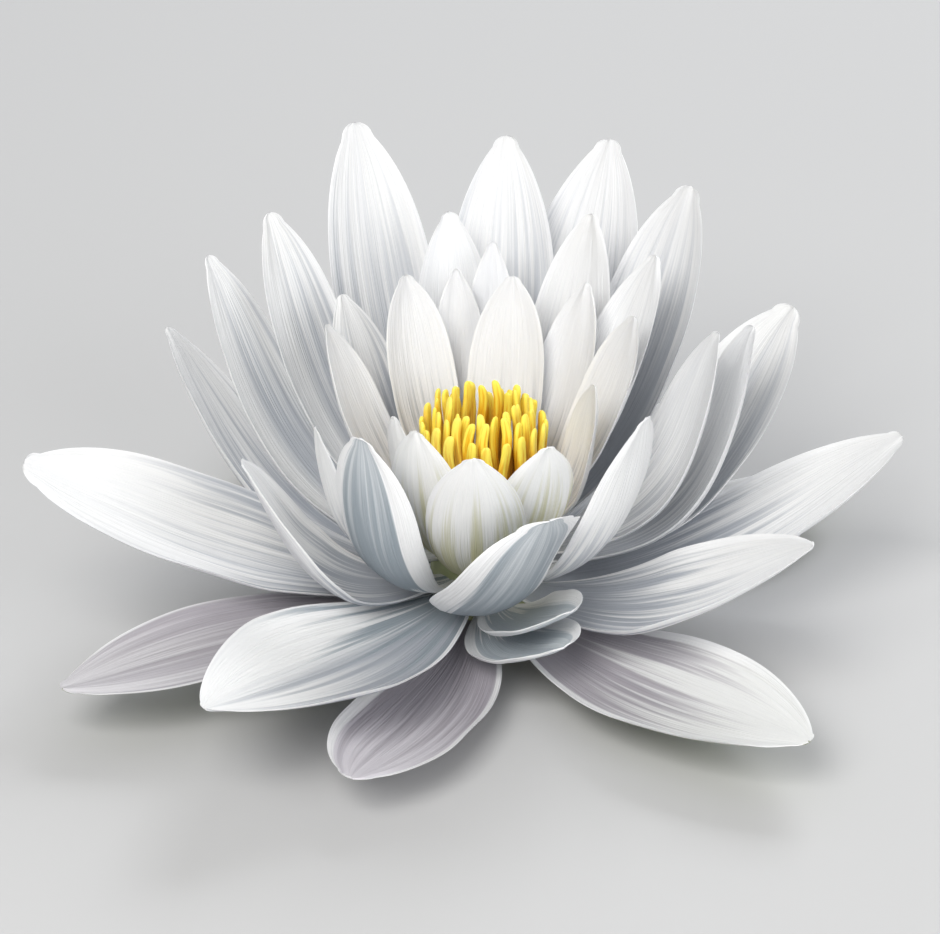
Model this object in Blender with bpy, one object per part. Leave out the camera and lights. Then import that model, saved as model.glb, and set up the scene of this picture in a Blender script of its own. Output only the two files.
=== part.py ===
"""A picked water lily bloom, open, resting on the flat cut of its stalk.

Metres, +Z up. The origin is the middle of the stalk's flat cut face, which lies on the surface at z = 0.
Azimuths are counted from +X towards +Y, and the bloom is seen from -Y in its usual view.
"""

import math
import random
from collections import namedtuple

import bmesh
import bpy
from mathutils import Vector

MM = 0.001

# The stalk and the receptacle, the barrel-shaped seat that every blade grows from.
STALK_RADIUS = 6.0 * MM
STALK_HEIGHT = 2.2 * MM
SEAT_RADIUS = 8.4 * MM
SEAT_BOTTOM = 4.4 * MM
SEAT_TOP = 20.0 * MM
SEAT_CHAMFER = 0.8 * MM
SEAT_SIDES = 40
TOUCHING = 0.3 * MM

# The yellow middle: rings of stamens round a dished stigma.
STAMEN_RING_INNER = 5.4 * MM
STAMEN_RING_OUTER = 8.3 * MM
STAMEN_RING_HEIGHT = 3.0 * MM
STAMEN_SINK = 1.2 * MM
STAMEN_SIDES = 5
STAMEN_STRAY = 0.04
STAMEN_SHORTER = 1.6
STAMEN_LONGER = 0.8
# Places along a stamen, each with its share of the full thickness there.
STAMEN_SHAPE = ((0.0, 0.8), (0.35, 1.0), (0.72, 0.95), (0.95, 0.6), (1.0, 0.25))
STIGMA_RADIUS = 5.0 * MM
STIGMA_HEIGHT = 2.6 * MM
STIGMA_MIDDLE = 0.45
STIGMA_KNOB = 0.75
STIGMA_RAYS = 14
STIGMA_RIDGE = 0.35 * MM
STIGMA_RINGS = (0.25, 0.5, 0.75, 1.0)
POINTS_A_RAY = 4

# Blades.
BLADE_THICKNESS = 0.8 * MM
ROWS = 9
ROW_CROWDING = 1.25
COLUMNS = 4
BROADEST = 0.52
CLAW_WIDTH = 0.27
TIP_WIDTH = 0.06
TIP_ROUNDING = 0.85
CUP_AT_ENDS = 0.45
CUP_FORWARD = 1.05
CUP_FULLNESS = 0.8
BOW_SKEW = 1.4
TWIST_END = 0.4
SHARP_EDGE = 50
SHARP_SEAT_EDGE = 30

Blade = namedtuple("Blade", "azimuth rise length width root bow cup roll lean tip", defaults=(0, 0, 2.4))

# Azimuth and rise of the line from root to tip in degrees, then length, width and height of the root in
# millimetres. Bow is how far the blade sags below that line, as a share of its length. Cup is half the
# angle that its cross-section turns through, in radians. Roll turns the blade about its own length, and
# lean moves its root sideways round the seat, both in degrees and both towards growing azimuth when above 0.
# Tip is how full the outline stays towards the tip: 2.4 is pointed, 4 is blunt.
SEPALS = (
    Blade(209.5, 4.2, 65.5, 23, 4.6, -0.03, 0.30, 0),
    Blade(312, 4, 64, 27, 5.4, 0.045, 0.45, 5, 0, 2.0),
    Blade(35, 2, 62, 22, 5.2, 0.085, 0.45),
    Blade(125, 2, 62, 22, 5.2, 0.085, 0.45),
)
OUTER_PETALS = (
    Blade(10, 19, 63, 23, 7.8, 0.12, 0.55, 4, 0, 2.5),
    Blade(50, 12, 60, 22, 6.6, 0.07, 0.55),
    Blade(79, 20, 62, 22, 8.1, 0.07, 0.55),
    Blade(108, 12, 62, 22, 6.6, 0.07, 0.55),
    Blade(146.6, 27, 60, 17, 9.8, 0.22, 0.55, 10),
    Blade(187, 21.5, 68.5, 25, 8.2, 0.055, 0.50, -14, -3, 3.2),
    Blade(235.5, 9, 64.5, 30, 8.8, 0.04, 0.50, -4, 0, 1.6),
    Blade(251, 3, 56, 21.5, 5.5, 0.065, 0.45, 0, 10, 2.9),
    Blade(331, 22.5, 53, 25, 8.8, 0.11, 0.55, 10, 0, 2.0),
)
SECOND_PETALS = (
    Blade(28, 35, 59, 22, 10.4, 0.18, 0.60, 8, 0, 3.2),
    Blade(46.5, 50, 63, 19.5, 13.4, 0.135, 0.60, 0, 0, 3.0),
    Blade(69, 46, 72.5, 22.5, 9.5, 0.10, 0.60),
    Blade(85.5, 52, 67, 20, 11.8, 0.10, 0.60),
    Blade(112.5, 50, 73, 19.5, 10.3, 0.13, 0.60, 0, 0, 3.0),
    Blade(139, 51, 59.5, 17, 13.1, 0.15, 0.60, 0, 0, 3.0),
    Blade(150, 45, 60.5, 18, 11.0, 0.18, 0.60),
    Blade(205, 40, 42.5, 21, 10.9, 0.20, 0.60, -12, 0, 2.8),
    Blade(297.5, 14, 26, 17, 7.2, 0.12, 0.55, 8, -22, 3.2),
    Blade(303, 21, 22.5, 16, 8.9, 0.10, 0.55, 8, -20, 3.2),
)
THIRD_PETALS = (
    Blade(13, 46, 51, 17, 12.0, 0.24, 0.65, 4, 0, 3.0),
    Blade(37, 57, 48, 15, 15.9, 0.07, 0.65),
    Blade(61.5, 57, 52, 15.5, 14.7, 0.12, 0.65),
    Blade(98.7, 58, 52, 15, 13.2, 0.12, 0.65),
    Blade(137.5, 57, 41.5, 15, 14.4, 0.12, 0.65),
    Blade(201, 53, 32.5, 12, 14.9, 0.22, 0.65, 0, 0, 3.0),
    Blade(230.5, 57, 39.5, 18, 12.3, 0.22, 0.70, 0, 0, 3.0),
    Blade(294, 43.5, 39, 24, 10.4, 0.15, 0.70, 0, -34, 4.0),
    Blade(324.5, 57, 41, 16.5, 12.0, 0.15, 0.65, 0, 0, 2.8),
)
INNER_PETALS = (
    Blade(8, 51, 46.3, 19, 13.8, 0.20, 0.65, 8),
    Blade(19, 63, 37, 12, 18.4, 0.07, 0.60, 12, 0, 3.0),
    Blade(51, 62, 38.5, 11.6, 17.5, 0.07, 0.60),
    Blade(77.5, 68, 36.3, 13.5, 18.7, 0.08, 0.60),
    Blade(87, 60, 45, 10, 15.1, 0.09, 0.60),
    Blade(99.5, 62, 39, 10, 16.9, 0.09, 0.60),
    Blade(122, 66, 38, 13, 18.4, 0.08, 0.60, 0, 0, 2.8),
    Blade(158, 60, 37, 14, 17.0, 0.10, 0.65),
    Blade(216, 70, 26, 9, 18.4, 0.09, 0.60, 0, 0, 3.0),
    Blade(243, 63, 32.5, 14, 16.4, 0.13, 0.65),
    Blade(267, 54, 39, 17, 14.6, 0.13, 0.65),
    Blade(291, 56, 33.5, 14, 17.4, 0.11, 0.65),
    Blade(345, 70, 29, 13, 18.4, 0.10, 0.65, 28, 0, 3.0),
)
WHORLS = {
    "sepal": SEPALS,
    "petal_outer": OUTER_PETALS,
    "petal_second": SECOND_PETALS,
    "petal_third": THIRD_PETALS,
    "petal_inner": INNER_PETALS,
}

StamenRing = namedtuple("StamenRing", "count foot middle tip height thickness")

# Radii of a stamen's foot, middle and tip from the axis, its tip's height and its thickness, in millimetres.
STAMEN_RINGS = (
    StamenRing(21, 7.6, 9.4, 9.8, 39.0, 1.5),
    StamenRing(19, 6.7, 7.9, 7.6, 40.5, 1.4),
    StamenRing(15, 5.9, 6.4, 5.3, 41.5, 1.3),
)


def clear_scene():
    for item in list(bpy.data.objects):
        bpy.data.objects.remove(item)


def make_material(name, colour, roughness):
    material = bpy.data.materials.new(name)
    material.use_nodes = True
    shader = material.node_tree.nodes["Principled BSDF"]
    shader.inputs["Base Color"].default_value = (*colour, 1.0)
    shader.inputs["Roughness"].default_value = roughness
    shader.inputs["Metallic"].default_value = 0.0
    return material


def add_object(name, mesh, material):
    mesh.materials.append(material)
    item = bpy.data.objects.new(name, mesh)
    bpy.context.scene.collection.objects.link(item)
    return item


def mesh_from(name, builder):
    mesh = bpy.data.meshes.new(name)
    bmesh.ops.recalc_face_normals(builder, faces=builder.faces)
    builder.to_mesh(mesh)
    builder.free()
    return mesh


def width_share(blade, along):
    """The share of the greatest width at a place along: a claw, a full middle and a closing tip."""
    if along < BROADEST:
        return CLAW_WIDTH + (1 - CLAW_WIDTH) * math.sin(math.pi / 2 * along / BROADEST)
    past = (along - BROADEST) / (1 - BROADEST)
    return TIP_WIDTH + (1 - TIP_WIDTH) * (1 - past**blade.tip) ** TIP_ROUNDING


def cup_share(along):
    """How much of the blade's cup there is: little at the claw and the tip, where the blade is narrow."""
    swell = math.sin(math.pi * min(1.0, along * CUP_FORWARD)) ** CUP_FULLNESS
    return CUP_AT_ENDS + (1 - CUP_AT_ENDS) * swell


def bow_share(along):
    """How much of the blade's sag there is: none at both ends, most a little nearer the root."""
    peak = 1 / (1 + BOW_SKEW)
    return along * (1 - along) ** BOW_SKEW / (peak * (1 - peak) ** BOW_SKEW)


def blade_point(blade, along, across):
    """A point of the blade's middle surface: along runs 0 to 1 from root to tip, across -1 to 1."""
    azimuth, rise = math.radians(blade.azimuth), math.radians(blade.rise)
    outward = Vector((math.cos(azimuth), math.sin(azimuth), 0))
    sideways = Vector((-math.sin(azimuth), math.cos(azimuth), 0))
    root_azimuth = azimuth + math.radians(blade.lean)
    root_radius = SEAT_RADIUS + TOUCHING
    root = Vector((math.cos(root_azimuth), math.sin(root_azimuth), 0)) * root_radius
    root.z = blade.root * MM
    length = blade.length * MM
    chord = outward * math.cos(rise) + Vector((0, 0, math.sin(rise)))
    below = outward * math.sin(rise) - Vector((0, 0, math.cos(rise)))
    turn_aside = sideways * (length * math.cos(rise) * math.tan(math.radians(blade.lean)))

    def middle(place):
        sag = below * (length * blade.bow * bow_share(place))
        return root + chord * (length * place) + sag + turn_aside * (place * (1 - place) ** 2)

    step = 0.001
    inside = min(max(along, step), 1 - step)
    tangent = (middle(inside + step) - middle(inside - step)).normalized()
    sideways = Vector((-tangent.y, tangent.x, 0)).normalized()
    inner_side = tangent.cross(sideways)
    twist = math.radians(blade.roll) * min(1.0, along / TWIST_END)
    sideways, inner_side = (
        sideways * math.cos(twist) + inner_side * math.sin(twist),
        inner_side * math.cos(twist) - sideways * math.sin(twist),
    )
    half_width = blade.width * MM / 2 * width_share(blade, along)
    turn = blade.cup * cup_share(along)
    curve_radius = half_width / turn
    angle = turn * across
    return (
        middle(along)
        + sideways * (curve_radius * math.sin(angle))
        + inner_side * (curve_radius * (1 - math.cos(angle)))
    )


def blade_normal(blade, along, across):
    """The unit normal of the middle surface, on the blade's inner side."""
    step = 0.002
    low, high = max(along - step, 0.0), min(along + step, 1.0)
    left, right = max(across - step, -1.0), min(across + step, 1.0)
    lengthwise = blade_point(blade, high, across) - blade_point(blade, low, across)
    crosswise = blade_point(blade, along, right) - blade_point(blade, along, left)
    return lengthwise.cross(crosswise).normalized()


def seated(point, blade):
    """Moves a root corner along the root's direction until it lies on the seat's side, a touching gap off."""
    azimuth = math.radians(blade.azimuth + blade.lean)
    outward = Vector((math.cos(azimuth), math.sin(azimuth), 0))
    flat = Vector((point.x, point.y, 0))
    along = flat.dot(outward)
    aside = (flat - outward * along).length
    wanted = math.sqrt((SEAT_RADIUS + TOUCHING) ** 2 - aside**2)
    return point + outward * (wanted - along)


def blade_mesh(name, blade):
    """A closed thin blade. Both faces are split along the same diagonals, so they never cross.

    Its rows are closer together towards the tip.
    """
    builder = bmesh.new()
    faces = {}
    for side in (1, -1):
        for row in range(ROWS + 1):
            for column in range(COLUMNS + 1):
                along = 1 - (1 - row / ROWS) ** ROW_CROWDING
                across = 2 * column / COLUMNS - 1
                point = blade_point(blade, along, across)
                point += blade_normal(blade, along, across) * (side * BLADE_THICKNESS / 2)
                if row == 0:
                    point = seated(point, blade)
                faces[side, row, column] = builder.verts.new(point)

    def quad_as_triangles(a, b, c, d):
        builder.faces.new((a, b, c))
        builder.faces.new((a, c, d))

    for side in (1, -1):
        for row in range(ROWS):
            for column in range(COLUMNS):
                near, far = (column, column + 1) if column < COLUMNS / 2 else (column + 1, column)
                quad_as_triangles(
                    faces[side, row, near],
                    faces[side, row, far],
                    faces[side, row + 1, far],
                    faces[side, row + 1, near],
                )
    rim = [(row, 0) for row in range(ROWS + 1)]
    rim += [(ROWS, column) for column in range(1, COLUMNS + 1)]
    rim += [(row, COLUMNS) for row in range(ROWS - 1, -1, -1)]
    rim += [(0, column) for column in range(COLUMNS - 1, 0, -1)]
    for here, after in zip(rim, rim[1:] + rim[:1]):
        quad_as_triangles(faces[1, *here], faces[1, *after], faces[-1, *after], faces[-1, *here])
    return mesh_from(name, builder)


def add_blades(materials):
    for whorl, blades in WHORLS.items():
        for number, blade in enumerate(blades, start=1):
            name = f"{whorl}_{number}"
            material = materials["sepal" if whorl == "sepal" else "petal"]
            item = add_object(name, blade_mesh(name, blade), material)
            item.data.shade_smooth()
            item.data.set_sharp_from_angle(angle=math.radians(SHARP_EDGE))


def circle(radius, height, sides):
    """The corners of a level ring round the axis."""
    turns = [2 * math.pi * k / sides for k in range(sides)]
    return [Vector((radius * math.cos(turn), radius * math.sin(turn), height)) for turn in turns]


def turned_mesh(name, profile, sides):
    """A solid of revolution round Z. The profile starts and ends on the axis, bottom to top."""
    builder = bmesh.new()
    rings = []
    for radius, height in profile:
        if radius == 0:
            rings.append([builder.verts.new((0, 0, height))])
        else:
            rings.append([builder.verts.new(point) for point in circle(radius, height, sides)])
    for lower, upper in zip(rings, rings[1:]):
        for k in range(sides):
            after = (k + 1) % sides
            low = [lower[k % len(lower)], lower[after % len(lower)]]
            high = [upper[after % len(upper)], upper[k % len(upper)]]
            builder.faces.new(list(dict.fromkeys(low + high)))
    return mesh_from(name, builder)


def add_seat(material):
    """The stub of the stalk, cut flat, which widens into the seat of the blades."""
    profile = (
        (0, 0),
        (STALK_RADIUS, 0),
        (STALK_RADIUS, STALK_HEIGHT),
        (SEAT_RADIUS - SEAT_CHAMFER, SEAT_BOTTOM - SEAT_CHAMFER),
        (SEAT_RADIUS, SEAT_BOTTOM),
        (SEAT_RADIUS, SEAT_TOP),
        (0, SEAT_TOP),
    )
    name = "stalk_and_receptacle"
    item = add_object(name, turned_mesh(name, profile, SEAT_SIDES), material)
    item.data.shade_smooth()
    item.data.set_sharp_from_angle(angle=math.radians(SHARP_SEAT_EDGE))


def add_stigma(material):
    """The dished stigma: its rays are ridges raised by a wave round the rim."""
    bottom = SEAT_TOP + TOUCHING
    around = STIGMA_RAYS * POINTS_A_RAY
    builder = bmesh.new()
    below = [builder.verts.new(point) for point in circle(STIGMA_RADIUS, bottom, around)]
    builder.faces.new(below)
    for share in reversed(STIGMA_RINGS):
        dish = STIGMA_HEIGHT * (STIGMA_MIDDLE + (1 - STIGMA_MIDDLE) * share**2)
        points = circle(STIGMA_RADIUS * share, bottom + dish, around)
        for k, point in enumerate(points):
            point.z += STIGMA_RIDGE * share * math.cos(2 * math.pi * k / POINTS_A_RAY)
        ring = [builder.verts.new(point) for point in points]
        for k in range(around):
            after = (k + 1) % around
            builder.faces.new((below[k], below[after], ring[after]))
            builder.faces.new((below[k], ring[after], ring[k]))
        below = ring
    knob = builder.verts.new((0, 0, bottom + STIGMA_HEIGHT * STIGMA_KNOB))
    for k in range(around):
        builder.faces.new((below[k], below[(k + 1) % around], knob))
    item = add_object("stigma_disc", mesh_from("stigma_disc", builder), material)
    item.data.shade_smooth()


def stamen_mesh(ring, azimuth, height):
    """One finger-shaped stamen, thickest in the middle, with its foot sunk in the ring that carries it."""
    bottom = SEAT_TOP + TOUCHING + STAMEN_RING_HEIGHT - STAMEN_SINK
    outward = Vector((math.cos(azimuth), math.sin(azimuth), 0))
    builder = bmesh.new()
    rings = []
    for share, thickness in STAMEN_SHAPE:
        bend = (1 - share) ** 2 * ring.foot + 2 * share * (1 - share) * ring.middle + share**2 * ring.tip
        centre = outward * (bend * MM) + Vector((0, 0, bottom + (height - bottom) * share))
        corners = circle(ring.thickness * MM / 2 * thickness, 0, STAMEN_SIDES)
        rings.append([builder.verts.new(centre + corner) for corner in corners])
    for lower, upper in zip(rings, rings[1:]):
        for k in range(STAMEN_SIDES):
            after = (k + 1) % STAMEN_SIDES
            builder.faces.new((lower[k], lower[after], upper[after], upper[k]))
    builder.faces.new(rings[0])
    builder.faces.new(rings[-1])
    return mesh_from("stamen", builder)


def add_stamens(material):
    """All the stamens, fused to the ring that they grow from."""
    bottom = SEAT_TOP + TOUCHING
    top = bottom + STAMEN_RING_HEIGHT
    profile = (
        (STAMEN_RING_INNER, bottom),
        (STAMEN_RING_OUTER, bottom),
        (STAMEN_RING_OUTER, top),
        (STAMEN_RING_INNER, top),
    )
    builder = bmesh.new()
    rings = [
        [builder.verts.new(point) for point in circle(radius, height, SEAT_SIDES)] for radius, height in profile
    ]
    for lower, upper in zip(rings, rings[1:] + rings[:1]):
        for k in range(SEAT_SIDES):
            after = (k + 1) % SEAT_SIDES
            builder.faces.new((lower[k], lower[after], upper[after], upper[k]))
    item = add_object("stamens", mesh_from("stamens", builder), material)

    draw = random.Random(7)
    cutters = bpy.data.collections.new("stamens_to_join")
    bpy.context.scene.collection.children.link(cutters)
    for number, ring in enumerate(STAMEN_RINGS):
        for k in range(ring.count):
            stray = draw.uniform(-STAMEN_STRAY, STAMEN_STRAY)
            azimuth = 2 * math.pi * (k + 0.5 * (number % 2)) / ring.count + stray
            height = (ring.height + draw.uniform(-STAMEN_SHORTER, STAMEN_LONGER)) * MM
            stamen = bpy.data.objects.new(f"stamen_{number}_{k}", stamen_mesh(ring, azimuth, height))
            cutters.objects.link(stamen)
    join = item.modifiers.new("join", "BOOLEAN")
    join.operation = "UNION"
    join.operand_type = "COLLECTION"
    join.collection = cutters
    join.solver = "EXACT"
    bpy.context.view_layer.update()
    joined = bpy.data.meshes.new_from_object(item.evaluated_get(bpy.context.evaluated_depsgraph_get()))
    item.modifiers.clear()
    item.data = joined
    for stamen in list(cutters.objects):
        bpy.data.objects.remove(stamen)
    bpy.data.collections.remove(cutters)
    item.data.shade_smooth()
    item.data.set_sharp_from_angle(angle=math.radians(SHARP_EDGE))


def main():
    clear_scene()
    materials = {
        "petal": make_material("white_petal", (0.84, 0.85, 0.88), 0.5),
        "sepal": make_material("green_backed_sepal", (0.62, 0.62, 0.52), 0.5),
        "stalk": make_material("green_stalk", (0.16, 0.22, 0.07), 0.5),
        "stamen": make_material("golden_stamen", (0.86, 0.58, 0.06), 0.6),
        "stigma": make_material("yellow_stigma", (0.85, 0.70, 0.18), 0.6),
    }
    add_seat(materials["stalk"])
    add_stigma(materials["stigma"])
    add_stamens(materials["stamen"])
    add_blades(materials)


main()
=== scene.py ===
# %% [markdown]
# # A white water lily bloom, petal by petal
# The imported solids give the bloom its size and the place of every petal. They are thick, even and few-sided,
# because a simulator has to carry them. This lesson grows a fine skin for each one from the same numbers,
# and gives it the finish of a real bloom: waxy white petals, a tuft of golden stamens and a green stalk.

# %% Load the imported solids
import math
import random
from collections import namedtuple

import bpy
import numpy as np
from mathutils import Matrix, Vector


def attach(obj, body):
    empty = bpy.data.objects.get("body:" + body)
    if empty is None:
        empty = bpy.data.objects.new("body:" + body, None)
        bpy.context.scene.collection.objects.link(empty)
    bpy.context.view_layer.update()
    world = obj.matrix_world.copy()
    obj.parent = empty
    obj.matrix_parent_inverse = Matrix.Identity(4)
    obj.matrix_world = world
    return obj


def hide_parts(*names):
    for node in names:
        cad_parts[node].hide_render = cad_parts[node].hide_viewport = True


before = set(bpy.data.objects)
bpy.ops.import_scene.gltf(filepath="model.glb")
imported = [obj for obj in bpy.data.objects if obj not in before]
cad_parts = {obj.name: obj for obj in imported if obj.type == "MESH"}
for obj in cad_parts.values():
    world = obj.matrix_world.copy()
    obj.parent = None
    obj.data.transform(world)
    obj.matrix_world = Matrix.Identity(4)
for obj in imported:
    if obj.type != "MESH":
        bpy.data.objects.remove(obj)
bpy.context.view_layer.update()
MM = 0.001

# %% [markdown]
# ## The camera
# The bloom is seen from a little above its rim, about 27 degrees up. A long lens from three quarters of a
# metre flattens the depth, so that the near petals don't swell. The focal length follows from how large the
# bloom should be in the picture: it is a plain ratio of sensor width to the width seen at that distance.

# %% Place the camera
CAMERA_RISE = math.radians(27)
CAMERA_DISTANCE = 0.75
WIDTH_SEEN = 0.1492
AIM = Vector((-0.0021, 0.0045, 0.0269))

camera = bpy.data.objects.new("camera", bpy.data.cameras.new("camera"))
camera.data.sensor_width = 36
camera.data.lens = camera.data.sensor_width * CAMERA_DISTANCE / WIDTH_SEEN
camera.data.clip_start = 0.01
camera.location = AIM + CAMERA_DISTANCE * Vector((0, -math.cos(CAMERA_RISE), math.sin(CAMERA_RISE)))
camera.rotation_euler = (math.pi / 2 - CAMERA_RISE, 0, 0)
bpy.context.scene.collection.objects.link(camera)
bpy.context.scene.camera = camera
print("lens in mm:", round(camera.data.lens, 1))

# %% [markdown]
# ## How a material is built here
# Shader nodes are easier to read when each is made in one line. This helper adds a node, sets its options,
# and fills its sockets with numbers or with links from other nodes.

# %% Add a shader node
def add_node(tree, kind, sockets=None, **settings):
    """Adds a node. Settings go on the node, sockets take a number, a colour or another node's output."""
    made = tree.nodes.new(kind)
    for name, value in settings.items():
        setattr(made, name, value)
    for key, value in (sockets or {}).items():
        if isinstance(value, bpy.types.NodeSocket):
            tree.links.new(value, made.inputs[key])
        else:
            made.inputs[key].default_value = value
    return made


def maths(tree, operation, first, second=0.0):
    """One sum on numbers that change over the surface."""
    return add_node(tree, "ShaderNodeMath", {0: first, 1: second}, operation=operation).outputs[0]


def step_between(tree, value, low, high):
    """A soft step: 0 below the low value, 1 above the high one."""
    sockets = {"Value": value, "From Min": low, "From Max": high}
    return add_node(tree, "ShaderNodeMapRange", sockets, interpolation_type="SMOOTHSTEP").outputs["Result"]


def blend_colours(tree, share, first, second):
    """The first colour where the share is 0, the second where it is 1."""
    sockets = {0: share, 6: first, 7: second}
    return add_node(tree, "ShaderNodeMix", sockets, data_type="RGBA").outputs[2]


print("helpers: add_node, maths, step_between, blend_colours")

# %% [markdown]
# ## A group for streaks
# Petals, stamens and the stalk all have fine lines that run from root to tip and close up where the piece
# narrows. An image could hold them, but it would blur close up. A noise that is stretched along the piece
# does it at any size, if it is laid out on the piece's own coordinates: how far along, and how far across.
# Each mesh carries those as an attribute, "place". The group is built once, and every material sets how many
# streaks there are and how long they run.

# %% Build the streak group
SHIFT_PER_PIECE = 40.0


def new_group(name, inputs, outputs):
    """An empty node group with named sockets. Returns the group, its input node and its output node."""
    group = bpy.data.node_groups.new(name, "ShaderNodeTree")
    for label, kind, value in inputs:
        socket = group.interface.new_socket(label, in_out="INPUT", socket_type=f"NodeSocket{kind}")
        socket.default_value = value
    for label, kind in outputs:
        group.interface.new_socket(label, in_out="OUTPUT", socket_type=f"NodeSocket{kind}")
    return group, group.nodes.new("NodeGroupInput"), group.nodes.new("NodeGroupOutput")


streaks, given, result = new_group(
    "lengthwise_streaks",
    [("Place", "Vector", (0, 0, 0)), ("Count", "Float", 20.0), ("Run", "Float", 2.0)],
    [("Broad", "Float"), ("Fine", "Float")],
)
axes = add_node(streaks, "ShaderNodeSeparateXYZ", {0: given.outputs["Place"]}).outputs
shift = maths(streaks, "MULTIPLY", axes["Z"], SHIFT_PER_PIECE)
stretched = add_node(
    streaks,
    "ShaderNodeCombineXYZ",
    {
        "X": maths(streaks, "ADD", maths(streaks, "MULTIPLY", axes["Y"], given.outputs["Count"]), shift),
        "Y": maths(streaks, "MULTIPLY", axes["X"], given.outputs["Run"]),
        "Z": shift,
    },
).outputs[0]
wide_noise = {"Vector": stretched, "Scale": 0.35, "Detail": 3.0, "Roughness": 0.6}
narrow_noise = {"Vector": stretched, "Scale": 1.6, "Detail": 2.0, "Roughness": 0.5}
broad = add_node(streaks, "ShaderNodeTexNoise", wide_noise)
fine = add_node(streaks, "ShaderNodeTexNoise", narrow_noise)
streaks.links.new(step_between(streaks, broad.outputs[0], 0.32, 0.68), result.inputs["Broad"])
streaks.links.new(step_between(streaks, fine.outputs[0], 0.3, 0.7), result.inputs["Fine"])
print("group:", streaks.name, len(streaks.nodes), "nodes")

# %% [markdown]
# ## A group for the colours of a petal
# A white petal isn't one white. Its rim gets a painted highlight, a brighter band where the thin edge turns
# up to the light. A greyer, cooler painted shade runs out from the root along the veins and ends raggedly,
# as where the petals overlap and shade each other. On some petals one side is kept free of it, as a painted
# lit side. Right at the root another colour can show: the cream of the receptacle, or a darker painted shade.
# The group takes those colours and how far each reaches, and puts out one colour.

# %% Build the petal colour group
RAGGEDNESS = 0.46
SHADE_FULL_TO = 0.35
ROOT_FULL_TO = 0.25
RIM_SOFTNESS = 0.12
RIM_RAGGEDNESS = 0.4
LIT_FROM = -0.1
LIT_FULL_AT = 0.35

petal_tint, given, result = new_group(
    "petal_tint",
    [
        ("Place", "Vector", (0, 0, 0)),
        ("Streaks", "Float", 0.5),
        ("Blade", "Color", (0.9, 0.9, 0.9, 1)),
        ("Shade", "Color", (0.6, 0.6, 0.7, 1)),
        ("Root", "Color", (0.7, 0.7, 0.4, 1)),
        ("Rim", "Color", (0.93, 0.93, 0.93, 1)),
        ("Shade Reach", "Float", 0.6),
        ("Root Reach", "Float", 0.25),
        ("Rim From", "Float", 0.84),
        ("Lit Side", "Float", 0.0),
    ],
    [("Color", "Color")],
)
axes = add_node(petal_tint, "ShaderNodeSeparateXYZ", {0: given.outputs["Place"]}).outputs
uneven = maths(petal_tint, "SUBTRACT", given.outputs["Streaks"], 0.5)
ragged = maths(petal_tint, "MULTIPLY", uneven, RAGGEDNESS)
along = maths(petal_tint, "ADD", axes["X"], ragged)
off_middle = maths(petal_tint, "ABSOLUTE", axes["Y"])
shade_end = given.outputs["Shade Reach"]
# Painted shade: the shade colour runs from the root out to its reach and ends raggedly.
shaded = step_between(petal_tint, along, shade_end, maths(petal_tint, "MULTIPLY", shade_end, SHADE_FULL_TO))
# A painted lit side: on one side the painted shade is taken away.
to_lit_side = maths(petal_tint, "MULTIPLY", axes["Y"], given.outputs["Lit Side"])
lit = step_between(petal_tint, to_lit_side, LIT_FROM, LIT_FULL_AT)
lit = maths(petal_tint, "MULTIPLY", lit, maths(petal_tint, "ABSOLUTE", given.outputs["Lit Side"]))
shaded = maths(petal_tint, "MULTIPLY", shaded, maths(petal_tint, "SUBTRACT", 1.0, lit))
# The root colour: the cream of the receptacle on some finishes, more painted shade on others.
root_end = given.outputs["Root Reach"]
rooted = step_between(petal_tint, along, root_end, maths(petal_tint, "MULTIPLY", root_end, ROOT_FULL_TO))
# A painted highlight: a brighter band along the rim.
edge = maths(petal_tint, "ADD", off_middle, maths(petal_tint, "MULTIPLY", ragged, RIM_RAGGEDNESS))
rim_from = given.outputs["Rim From"]
rim_highlight = step_between(petal_tint, edge, rim_from, maths(petal_tint, "ADD", rim_from, RIM_SOFTNESS))
colour = blend_colours(petal_tint, shaded, given.outputs["Blade"], given.outputs["Shade"])
colour = blend_colours(petal_tint, rooted, colour, given.outputs["Root"])
colour = blend_colours(petal_tint, rim_highlight, colour, given.outputs["Rim"])
petal_tint.links.new(colour, result.inputs["Color"])
print("group:", petal_tint.name, len(petal_tint.nodes), "nodes")

# %% [markdown]
# ## The petal materials
# One function makes them all, because they differ only in colour and in how far the painted shade runs. The
# petal lets some light through, so a Translucent shader is mixed into the waxy surface. The streaks feed a
# Bump node too, as fine ribs of about a tenth of a millimetre. The outer face has its own colour and may have
# its
# own painted shade, both green on a sepal: the mesh marks the inner face with an attribute, "inner_face".

# %% Make the petal materials
LIGHT_THROUGH = 0.22
VEINS = 22.0
VEIN_RUN = 2.2
RIB_HEIGHT = 0.3 * MM
RIB_STRENGTH = 0.3
BROAD_RIB_SHARE = 1.5
PETAL_DULLNESS = 0.42
DULLNESS_VARIES = 0.14
PETAL_SHINE = 0.35
LINE_COLOUR = (0.60, 0.62, 0.68, 1)
# A finish: the blade colour, the colour of its painted shade, the back colour, the root colour, how far the
# painted shade and the root colour reach, where the painted rim highlight starts, which side is painted lit,
# how strong the lines are, and a painted shade for the back.
PetalFinish = namedtuple(
    "PetalFinish",
    "blade shade back root shade_reach root_reach rim_from lit_side lines back_shade",
    defaults=(0.84, 0.0, 0.11, None),
)


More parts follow.
